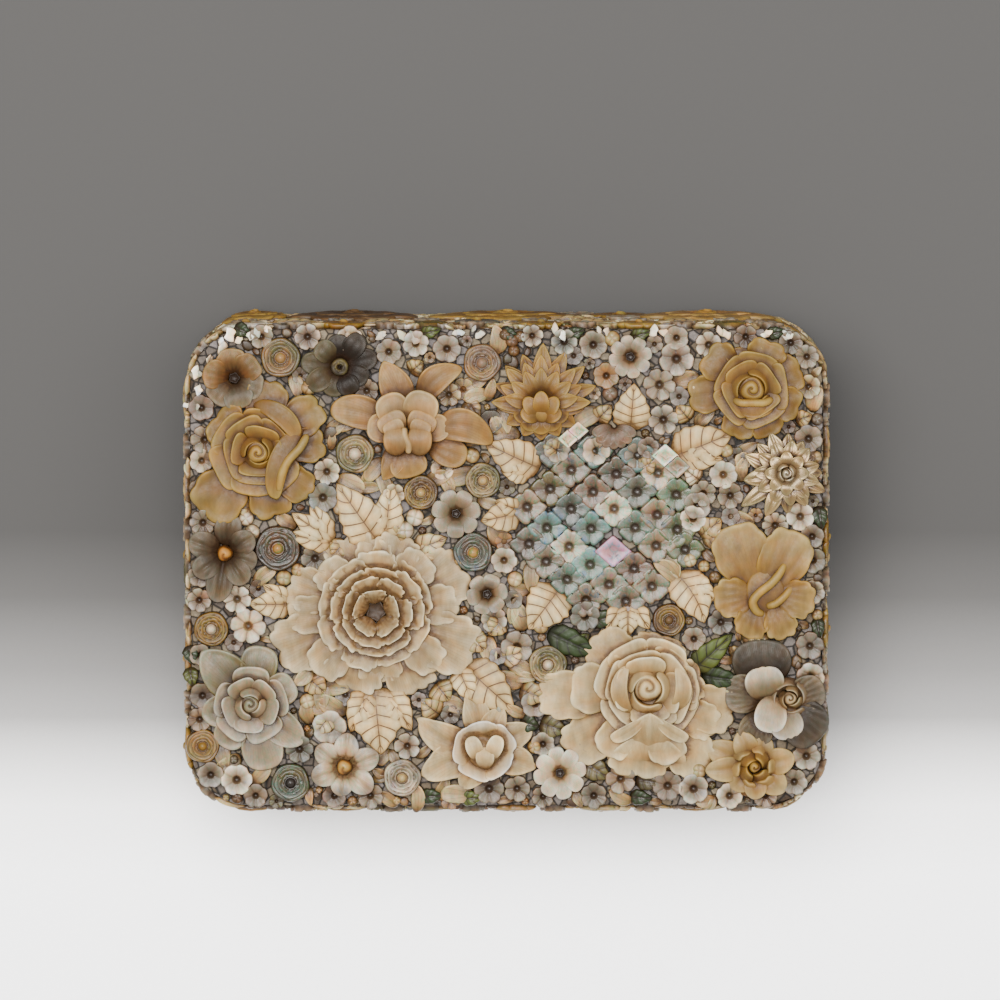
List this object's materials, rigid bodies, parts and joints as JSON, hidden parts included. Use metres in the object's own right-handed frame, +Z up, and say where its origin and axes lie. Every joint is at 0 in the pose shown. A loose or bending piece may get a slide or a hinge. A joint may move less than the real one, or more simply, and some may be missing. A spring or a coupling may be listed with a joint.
{
  "type": "lacquer box",
  "caption": "Rounded rectangular lacquer box with a lift-off lid, its lid and sides thickly encrusted with carved flowers, leaves, rosettes and a lozenge mosaic of shell florets.",
  "frame": {"origin": "middle of the flat underside of the tray, on the surface that the box stands on", "axes": "+Z up through the lid; +X along the long side, to the right in the picture; +Y across the lid, towards the top of the picture"},
  "size_m": [0.1326, 0.1018, 0.0428],
  "materials": {
    "abalone": "green and blue abalone shell, polished",
    "amber_antler": "carved horn-like material stained honey amber, satin polish",
    "brown_shell": "brown shell turned in rings, polished",
    "cream_antler": "carved cream horn-like material, brown in the recesses, satin polish",
    "dark_shell": "dark smoked mother-of-pearl, polished",
    "gilt_shell": "champagne gold shell, high sheen",
    "green_leaf": "carved material stained green, satin polish",
    "grey_shell": "grey mother-of-pearl, polished",
    "lacquer": "dark brown lacquer, glossy",
    "peach_antler": "carved horn-like material stained peach, satin polish",
    "white_shell": "white mother-of-pearl, polished"
  },
  "bodies": {
    "root": {"body_bed": "grey_shell", "box_body": "lacquer", "camellia": "cream_antler", "chrysanthemum": "gilt_shell", "cosmos_front": "white_shell", "cosmos_left": "grey_shell", "daffodil": "amber_antler", "dark_flower": "dark_shell", "gardenia": "grey_shell", "green_leaf_dark": "green_leaf", "green_leaf_light": "green_leaf", "green_leaf_round": "green_leaf", "grey_flower_low": "grey_shell", "grey_flower_mid": "grey_shell", "hibiscus": "amber_antler", "leaf_broad": "cream_antler", "leaf_east": "cream_antler", "leaf_fan_lower": "cream_antler", "leaf_fan_upper": "cream_antler", "leaf_hanging": "cream_antler", "leaf_inner": "cream_antler", "leaf_north": "cream_antler", "leaf_south_east": "cream_antler", "leaf_south_west": "cream_antler", "leaf_tall": "cream_antler", "leaf_three": "cream_antler", "leaf_west": "cream_antler", "lid": "lacquer", "lid_bed": "grey_shell", "lily": "cream_antler", "lotus": "amber_antler", "magnolia": "dark_shell", "orchid": "peach_antler", "peony": "cream_antler", "pink_flower": "white_shell", "rose_left": "amber_antler", "rose_right": "amber_antler", "rosette_amber": "amber_antler", "rosette_brown": "brown_shell", "rosette_corner": "amber_antler", "rosette_fern": "brown_shell", "rosette_green": "abalone", "rosette_honey": "brown_shell", "rosette_night": "abalone", "rosette_olive": "brown_shell", "rosette_peach": "brown_shell", "rosette_rose": "brown_shell", "rosette_sea": "abalone", "rosette_straw": "brown_shell", "rosette_white": "white_shell", "side_bud_back": "amber_antler", "side_camellia_back": "dark_shell", "side_lotus_front": "amber_antler", "side_peony_back": "amber_antler", "side_rose_back": "peach_antler", "side_rose_front": "cream_antler", "side_rose_left": "amber_antler", "side_rose_right": "peach_antler", "striped_flower": "brown_shell", "white_flower": "white_shell"}
  },
  "joints": []
}
